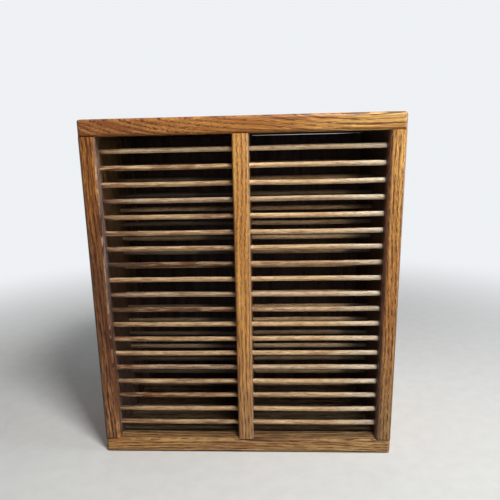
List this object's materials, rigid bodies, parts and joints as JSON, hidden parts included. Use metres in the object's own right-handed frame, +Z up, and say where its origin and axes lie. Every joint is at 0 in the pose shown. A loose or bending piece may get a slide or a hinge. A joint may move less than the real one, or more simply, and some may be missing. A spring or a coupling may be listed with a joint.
{
  "type": "disc case rack",
  "caption": "Tabletop oak rack with a centre divider and two bays of slots on round wooden rods, for disc cases stored spine out.",
  "frame": {"origin": "middle of the underside of the bottom board, which stands on the table", "axes": "+Z up, the open front faces -Y, +X to the right when the front is seen"},
  "size_m": [0.305, 0.1524, 0.3472],
  "materials": {
    "board_wood": "satin stained oak",
    "panel_wood": "dark stained oak veneer",
    "rod_wood": "satin, lighter and more worn than the boards",
    "pin_wood": "raw",
    "brad_steel": "plain"
  },
  "bodies": {
    "root": {"top_board": "board_wood", "bottom_board": "board_wood", "left_side": "board_wood", "right_side": "board_wood", "centre_divider": "board_wood", "back_panel": "panel_wood", "front_rod_01": "rod_wood", "front_rod_02": "rod_wood", "front_rod_03": "rod_wood", "front_rod_04": "rod_wood", "front_rod_05": "rod_wood", "front_rod_06": "rod_wood", "front_rod_07": "rod_wood", "front_rod_08": "rod_wood", "front_rod_09": "rod_wood", "front_rod_10": "rod_wood", "front_rod_11": "rod_wood", "front_rod_12": "rod_wood", "front_rod_13": "rod_wood", "front_rod_14": "rod_wood", "front_rod_15": "rod_wood", "front_rod_16": "rod_wood", "front_rod_17": "rod_wood", "front_rod_18": "rod_wood", "front_rod_19": "rod_wood", "rear_rod_01": "rod_wood", "rear_rod_02": "rod_wood", "rear_rod_03": "rod_wood", "rear_rod_04": "rod_wood", "rear_rod_05": "rod_wood", "rear_rod_06": "rod_wood", "rear_rod_07": "rod_wood", "rear_rod_08": "rod_wood", "rear_rod_09": "rod_wood", "rear_rod_10": "rod_wood", "rear_rod_11": "rod_wood", "rear_rod_12": "rod_wood", "rear_rod_13": "rod_wood", "rear_rod_14": "rod_wood", "rear_rod_15": "rod_wood", "rear_rod_16": "rod_wood", "rear_rod_17": "rod_wood", "rear_rod_18": "rod_wood", "rear_rod_19": "rod_wood", "joint_pins": "pin_wood", "back_panel_brads": "brad_steel"}
  },
  "joints": []
}
